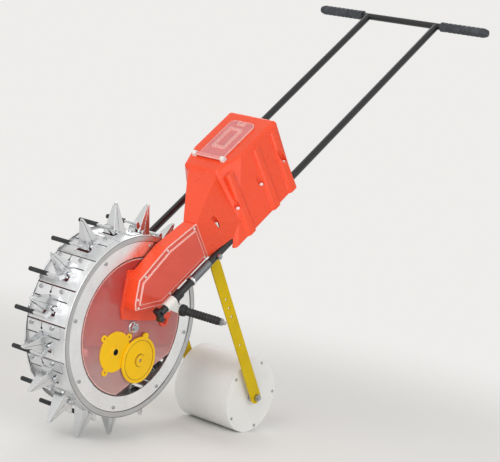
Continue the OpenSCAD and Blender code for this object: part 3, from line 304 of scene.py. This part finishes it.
def band_shade_and_reflection(s):
    """Mask of the raised band of the side rings: painted shade, strongest along both of its edges, and a
    painted darker reflection over its face.
    """
    x, z, _ = s.round_axis(AXLE)
    radius = s.hypot(x, z)
    inner = s.math("COMPARE", radius, RIM_R - BAND_W, BAND_INNER_HALF)
    outer = s.math("COMPARE", radius, RIM_R - BAND_OUTER_IN, BAND_OUTER_HALF)
    on_face = s.math("COMPARE", radius, RIM_R - BAND_W / 2 - BAND_FACE_IN, BAND_W / 2)
    lines = s.math("MULTIPLY", s.math("MAXIMUM", inner, outer), BAND_EDGE_SHADE)
    return s.math("MAXIMUM", lines, s.math("MULTIPLY", on_face, BAND_FACE_REFLECTION))


def polished_metal(name, color, rough=0.12, brush=(1.0, 14.0, 1.0), haze=0.14, lines=None):
    """Bright sheet metal with a fine brushed grain, handling haze and rounded edges with a painted
    highlight.
    """
    s = Shader(name, metallic=1.0, specular_ior_level=0.5)
    edge = s.edges(0.8 * MM)
    smear = s.spread(s.noise(scale=22, detail=5), 0, 1)
    body = s.mix(smear, shade(color, 0.9), color)
    # Painted highlight along the rounded edges
    body = s.mix(edge, body, shade(color, 1.2))
    # Painted shade and painted darker reflection from the given mask
    if lines:
        body = s.mix(lines(s), body, SHADE_AND_REFLECTION_DARK)
    grain = s.noise(scale=260, detail=3, vector=s.stretched(brush))
    s.bump(grain, strength=0.04, distance=0.2 * MM)
    return s.done(body, s.spread(s.noise(scale=45, detail=6), low=rough, high=rough + haze))


def enamel(name, color, rough=0.35, chip=None, shine=0.5, lacquer=0.0):
    """Painted steel with a slight ripple and bare or paler edges."""
    s = Shader(name, specular_ior_level=shine, coat_weight=lacquer, coat_roughness=0.1)
    edge = s.edges(0.7 * MM)
    breakup = s.spread(s.noise(scale=240, detail=4), low=0.0, high=0.8)
    wear = s.math("MULTIPLY", edge, breakup)
    cloud = s.spread(s.noise(scale=12, detail=4), 0, 1)
    body = s.mix(cloud, shade(color, 0.88), shade(color, 1.12))
    body = s.mix(wear, body, chip or shade(color, 2.2))
    s.bump(s.noise(scale=55, detail=2), strength=0.05, distance=0.4 * MM)
    return s.done(body, s.spread(s.noise(scale=70, detail=5), low=rough - 0.06, high=rough + 0.1))


def rubber(name, color):
    """Dull black rubber with a grained skin and dusty high spots."""
    s = Shader(name, specular_ior_level=0.35)
    edge = s.edges(0.8 * MM)
    pale_tone = s.spread(s.noise(scale=40, detail=6), low=0.0, high=1.0, start=0.45, end=0.8)
    body = s.mix(pale_tone, color, shade(color, 2.0))
    body = s.mix(edge, body, shade(color, 2.6))
    s.bump(s.noise(scale=900, detail=3), strength=0.25, distance=0.3 * MM)
    return s.done(body, s.spread(s.noise(scale=120, detail=4), low=0.5, high=0.7))


def cast_grey(name, color):
    """Grey casting with a sandy skin."""
    s = Shader(name, metallic=0.9)
    sand = s.spread(s.noise(scale=70, detail=6), 0, 1)
    body = s.mix(sand, shade(color, 0.75), shade(color, 1.2))
    s.edges(0.8 * MM)
    s.bump(s.noise(scale=600, detail=4), strength=0.25, distance=0.3 * MM)
    return s.done(body, s.spread(s.noise(scale=150, detail=4), low=0.38, high=0.6))


ORANGE = linear(240, 78, 40)
BLACK = linear(24, 25, 28)
ALUMINIUM = linear(232, 233, 234)
STEEL = linear(224, 226, 228)
YELLOW = linear(250, 198, 0)
YELLOW_FINISH = {"gloss": 0.32, "wear": 0.25, "shine": 0.2}

orange = moulded_plastic("orange_plastic", ORANGE)
white = moulded_plastic("white_plastic", linear(230, 229, 224), gloss=0.38, wear=0.4)
roller_white = moulded_plastic("roller_white", linear(240, 240, 238), gloss=0.45, wear=0.4)
yellow = moulded_plastic("yellow_plastic", YELLOW, **YELLOW_FINISH)
yellow_dish = moulded_plastic("yellow_dish", YELLOW, **YELLOW_FINISH, groove_shade=dish_groove_shade)
black_plastic = moulded_plastic("black_plastic", linear(28, 29, 31), gloss=0.24, wear=0.1)
clear_red = clear_plastic("clear_red", linear(250, 104, 98), clear=0.62, rim=5 * MM,
                          pale_tone=linear(244, 200, 196))
clear_orange = clear_plastic("clear_orange", linear(255, 98, 76), clear=0.3)
clear_pink = clear_plastic("clear_pink", linear(248, 150, 148), clear=0.35)
clear_edge_glow = clear_plastic("clear_edge_glow", EDGE_GLOW, clear=0.2, rough=0.15)
rim_metal = polished_metal("rim_metal", linear(244, 245, 246), rough=0.24, brush=(1.0, 1.0, 1.0),
                           haze=0.12, lines=band_shade_and_reflection)
deck_metal = polished_metal("deck_metal", ALUMINIUM, rough=0.36)
beak_metal = polished_metal("beak_metal", STEEL, rough=0.14)
base_metal = polished_metal("base_metal", ALUMINIUM, rough=0.34, lines=plate_slot_shade)
zinc = polished_metal("zinc_steel", linear(176, 178, 180), rough=0.22, haze=0.16)
black_tube = enamel("black_tube", BLACK, rough=0.24, lacquer=0.12)
sleeve_metal = polished_metal("sleeve_metal", linear(124, 127, 131), rough=0.26)
yellow_paint = enamel("yellow_paint", linear(214, 182, 0), rough=0.36,
                      chip=linear(240, 220, 96), shine=0.14)
black_rubber = rubber("black_rubber", linear(34, 35, 37))
grip_rubber = rubber("grip_rubber", linear(56, 59, 64))
grey_cast = cast_grey("grey_cast", linear(140, 143, 146))

LOOKS = {
    black_tube: ["handle_tube_left", "handle_tube_right", "crossbar", "axle_plate"],
    grip_rubber: ["grip_left", "grip_right"],
    black_rubber: ["side_peg"],
    sleeve_metal: ["tube_sleeves", "hopper_straps"],
    black_plastic: ["tube_fittings", "brush"],
    white: ["tube_tee", "lid_hinge", "body_screws"],
    orange: ["hopper_upper", "hopper_lower", "chute_body", "chamber_housing"],
    clear_red: ["chamber_cover"],
    clear_orange: ["chute_cover"],
    clear_pink: ["lid"],
    yellow: ["brush_cover"],
    yellow_dish: ["meter_cover"],
    rim_metal: ["rim_left", "rim_right"],
    deck_metal: ["deck_segments", "wheel_web", "seed_roller"],
    beak_metal: ["fixed_beaks", "axle_hardware", *FLAPS],
    zinc: ["axle", "wheel_bolts", "arm_bolts", "roller_axle", "meter_shaft"],
    grey_cast: ["wheel_hub", "ring_gear", "meter_pinion"],
    yellow_paint: ["arm_left", "arm_right"],
    roller_white: ["roller_drum", "roller_caps"],
}
for look, names in LOOKS.items():
    for name in names:
        nodes[name].data.materials.clear()
        nodes[name].data.materials.append(look)


# Faces of a node that take another look

SLEEVE_CLEAR = 1.02
PLATE_NEAR = 0.2 * MM
PLATE_COS = 0.99
EDGE_COS = 0.5
COVER_FACES = {"chute_cover": Vector((0, 1, 0)), "lid": SEAM_UP}


def paint(node, look, test):
    """Gives another look to the faces of a node whose centre and normal pass a test."""
    mesh = nodes[node].data
    mesh.materials.append(look)
    index = len(mesh.materials) - 1
    for face in mesh.polygons:
        if test(face.center, face.normal):
            face.material_index = index


def beak_frame(flap):
    """Leading and outward directions of a beak."""
    turn = beak_turn(flap)
    lead = Vector((math.cos(turn), 0, -math.sin(turn)))
    out = Vector((math.sin(turn), 0, math.cos(turn)))
    return lead, out


def on_sleeve(flap):
    """Test for the rubber sleeve on the lever bar of a flap."""
    lead, out = beak_frame(flap)

    def test(center, normal):
        at = center - AXLE
        off = Vector((at.dot(lead) - BAR_LEAD, at.dot(out) - BAR_R)).length
        return center.y < SLEEVE_END_Y + SLEEVE_LAP and off > BAR_RADIUS * SLEEVE_CLEAR

    return test


def on_base_plate(center, normal):
    """Outer faces of the beaks' base plates."""
    for flap in FLAPS:
        out = beak_frame(flap)[1]
        height = (center - AXLE).dot(out)
        if normal.dot(out) > PLATE_COS and abs(height - BASE_TOP_R) < PLATE_NEAR:
            return True
    return False


def brush_bore_shade(center, normal):
    """Wall and floor of the bore in the flat cover, where black is painted as the shade of the deep
    bore.
    """
    at = Vector((center.x - AXLE.x, center.z - AXLE.z))
    return (at - BRUSH_BORE_AT).length < BRUSH_BORE_R + NEAR


for flap in FLAPS:
    paint(flap, black_rubber, on_sleeve(flap))
paint("fixed_beaks", base_metal, on_base_plate)
paint("side_peg", zinc, lambda at, n: at.y > PEG_SLEEVE_END_Y - NEAR)
# Side faces of the covers take a pale painted highlight of light caught in their edges
for cover, face in COVER_FACES.items():
    paint(cover, clear_edge_glow, lambda at, n, face=face: abs(n.dot(face)) < EDGE_COS)
# Black plastic painted in the deep bore of the flat cover as its shade
paint("brush_cover", black_plastic, brush_bore_shade)
roller_half = max(abs(corner[1]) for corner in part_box("roller_drum"))
paint("roller_caps", zinc, lambda at, n: abs(at.y) > roller_half + ROLLER_CAP_T + NEAR)


# Broad arms of the press roller

ARM_BROAD = 35 * MM


def broad_arm(node):
    """Arm with a broader outline round the pivot, holes and axle of the node that it replaces."""
    pivot = Vector(joints["arms_swing"]["pos_m"])
    span = Vector(joints["roller_spin"]["pos_m"]) - pivot
    length = span.length
    along = span.normalized()
    across = Vector((along.z, 0, -along.x))
    grow = ARM_BROAD / ARM_GAUGE
    mesh = nodes[node].data.copy()
    for point in mesh.vertices:
        at = point.co - pivot
        run, off = at.dot(along), at.dot(across)
        new_run, new_off = run, off
        if abs(off) > ARM_GAUGE / 2 - NEAR:
            new_off = off * grow
            if run < ARM_GAUGE + NEAR:
                new_run = ARM_BROAD
        elif run > length and math.hypot(run - length, off) > ARM_EYE_REACH:
            new_run, new_off = length + (run - length) * grow, off * grow
        point.co += along * (new_run - run) + across * (new_off - off)
    piece = bpy.data.objects.new(node + "_broad", mesh)
    scene.collection.objects.link(piece)
    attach(piece, "arms")
    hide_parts(node)


for node in LOOKS[yellow_paint]:
    broad_arm(node)


# Small fasteners

TURN_STEPS = 40
CREASE = math.radians(32)
CLAMP_RISE = 5 * MM

# Profiles in mm: distance from the axis, height along it
CAP_PROFILE = [(0, 0.05), (5.4, 0.05), (5.4, 15.4), (4.9, 17.0),
               (3.4, 18.1), (3.0, 18.2), (2.6, 17.2), (0, 17.2)]
CLAMP_PROFILE = [(10.8, -3.0), (11.9, -3.0), (12.5, -2.3), (12.1, -1.2), (12.1, 1.2),
                 (12.5, 2.3), (11.9, 3.0), (10.8, 3.0)]


def turned(name, profile, place, axis, look, body):
    """Piece turned from a profile; one that stays clear of the axis closes to a ring."""
    points, rings, faces = [], [], []
    for radius, height in profile:
        steps = TURN_STEPS if radius else 1
        rings.append(range(len(points), len(points) + steps))
        for k in range(steps):
            angle = math.tau * k / steps
            point = Vector((radius * math.cos(angle), radius * math.sin(angle), height))
            points.append(point * MM)
    pairs = list(zip(rings, rings[1:]))
    if profile[0][0]:
        pairs.append((rings[-1], rings[0]))
    for low, high in pairs:
        for k in range(TURN_STEPS):
            quad = [low[k % len(low)], low[(k + 1) % len(low)],
                    high[(k + 1) % len(high)], high[k % len(high)]]
            faces.append(list(dict.fromkeys(quad)))
    mesh = bpy.data.meshes.new(name)
    mesh.from_pydata(points, [], faces)
    mesh.shade_smooth()
    mesh.set_sharp_from_angle(angle=CREASE)
    mesh.materials.append(look)
    piece = bpy.data.objects.new(name, mesh)
    piece.matrix_world = Matrix.Translation(place) @ axis.to_track_quat("Z", "Y").to_matrix().to_4x4()
    scene.collection.objects.link(piece)
    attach(piece, body)


turned("seam_cap", CAP_PROFILE, SEAM_HEAD_TOP, SEAM_UP, white, "frame")
for side, sign in (("left", 1), ("right", -1)):
    place = SLEEVE_LOW_END + Vector((0, sign * TUBE_Y, 0)) + TUBE_RUN * CLAMP_RISE
    turned("sleeve_clamp_" + side, CLAMP_PROFILE, place, TUBE_RUN, beak_metal, "frame")


# Stage, light and camera

PALE = linear(238, 237, 235)
FLOOR_SHADE = linear(234, 233, 231)
FLOOR_HALF = 40
FLOOR_ROUGH = 0.9
FLOOR_NEAR = 0.8
FLOOR_FAR = 2.2
WORLD_FILL = 0.58
LAMP_TARGET = Vector((0, 0, 0.5))
LAMPS = [  # name, place, size in metres, watts
    ("key", (3.4, 0.5, 2.0), (2.8, 2.6), 78),
    ("fill", (0.6, 3.6, 2.0), (2.8, 2.2), 34),
    ("back", (-2.6, -1.6, 2.8), (2.8, 2.0), 32),
]
CAMERA_PLACE = Vector((3.27935, 2.5861, 0.9540))
CAMERA_RIGHT = Vector((-0.61094, 0.77205, 0.17518))
CAMERA_UP = Vector((0.02840, -0.19977, 0.97943))
CAMERA_SENSOR_MM = 36
CAMERA_LENS_MM = 116.85
CAMERA_REACH = 100


def background_rays(tree):
    """1 for rays that show the background: from the camera, in gloss and through clear parts."""
    path = tree.nodes.new("ShaderNodeLightPath")
    total = path.outputs["Is Camera Ray"]
    for kind in ("Is Glossy Ray", "Is Transmission Ray"):
        most = tree.nodes.new("ShaderNodeMath")
        most.operation = "MAXIMUM"
        tree.links.new(total, most.inputs[0])
        tree.links.new(path.outputs[kind], most.inputs[1])
        total = most.outputs["Value"]
    return total


def build_floor():
    """Pale floor that takes the shadow and runs out into the tone of the background."""
    half = FLOOR_HALF
    mesh = bpy.data.meshes.new("floor")
    corners = [(-half, -half, 0), (half, -half, 0), (half, half, 0), (-half, half, 0)]
    mesh.from_pydata(corners, [], [(0, 1, 2, 3)])
    floor = bpy.data.objects.new("floor", mesh)
    scene.collection.objects.link(floor)
    s = Shader("floor_pale", specular_ior_level=0.1)
    tone = s.mix(s.spread(s.noise(scale=0.6, detail=2), 0, 1), FLOOR_SHADE, PALE)
    mesh.materials.append(s.done(tone, FLOOR_ROUGH))
    far = s.tree.nodes.new("ShaderNodeVectorMath")
    far.operation = "LENGTH"
    s.feed(far.inputs[0], s.coords)
    fade = s.add("ShaderNodeMapRange", value=far.outputs["Value"],
                 from_min=FLOOR_NEAR, from_max=FLOOR_FAR)
    fade.interpolation_type = "SMOOTHSTEP"
    glow = s.add("ShaderNodeEmission", color=PALE, strength=1.0)
    join = s.tree.nodes.new("ShaderNodeMixShader")
    s.feed(join.inputs[0], s.math("MULTIPLY", fade.outputs["Result"], background_rays(s.tree)))
    s.feed(join.inputs[1], s.bsdf.outputs["BSDF"])
    s.feed(join.inputs[2], glow.outputs["Emission"])
    s.feed(s.tree.nodes["Material Output"].inputs["Surface"], join.outputs["Shader"])


def build_world():
    """Even fill light, seen as the pale background."""
    world = bpy.data.worlds.new("studio")
    world.use_nodes = True
    tree = world.node_tree
    back = tree.nodes["Background"]
    back.inputs["Color"].default_value = PALE
    level = tree.nodes.new("ShaderNodeMapRange")
    level.inputs["To Min"].default_value = WORLD_FILL
    level.inputs["To Max"].default_value = 1.0
    tree.links.new(background_rays(tree), level.inputs["Value"])
    tree.links.new(level.outputs["Result"], back.inputs["Strength"])
    scene.world = world


def add_softbox(name, place, size, watts):
    """Broad lamp that faces the middle of the object."""
    lamp = bpy.data.lights.new(name, "AREA")
    lamp.shape = "RECTANGLE"
    lamp.size, lamp.size_y = size
    lamp.energy = watts
    box = bpy.data.objects.new(name, lamp)
    scene.collection.objects.link(box)
    turn = (LAMP_TARGET - Vector(place)).to_track_quat("-Z", "Y").to_matrix().to_4x4()
    box.matrix_world = Matrix.Translation(place) @ turn


def add_camera():
    """Camera at the viewing angle of the photograph."""
    lens = bpy.data.cameras.new("camera")
    lens.sensor_fit = "HORIZONTAL"
    lens.sensor_width = CAMERA_SENSOR_MM
    lens.lens = CAMERA_LENS_MM
    lens.clip_end = CAMERA_REACH
    camera = bpy.data.objects.new("camera", lens)
    back = CAMERA_RIGHT.cross(CAMERA_UP)
    turn = Matrix((CAMERA_RIGHT, CAMERA_UP, back)).transposed().to_4x4()
    camera.matrix_world = Matrix.Translation(CAMERA_PLACE) @ turn
    scene.collection.objects.link(camera)
    scene.camera = camera


build_floor()
build_world()
for lamp in LAMPS:
    add_softbox(*lamp)
add_camera()
scene.view_settings.view_transform = "Standard"
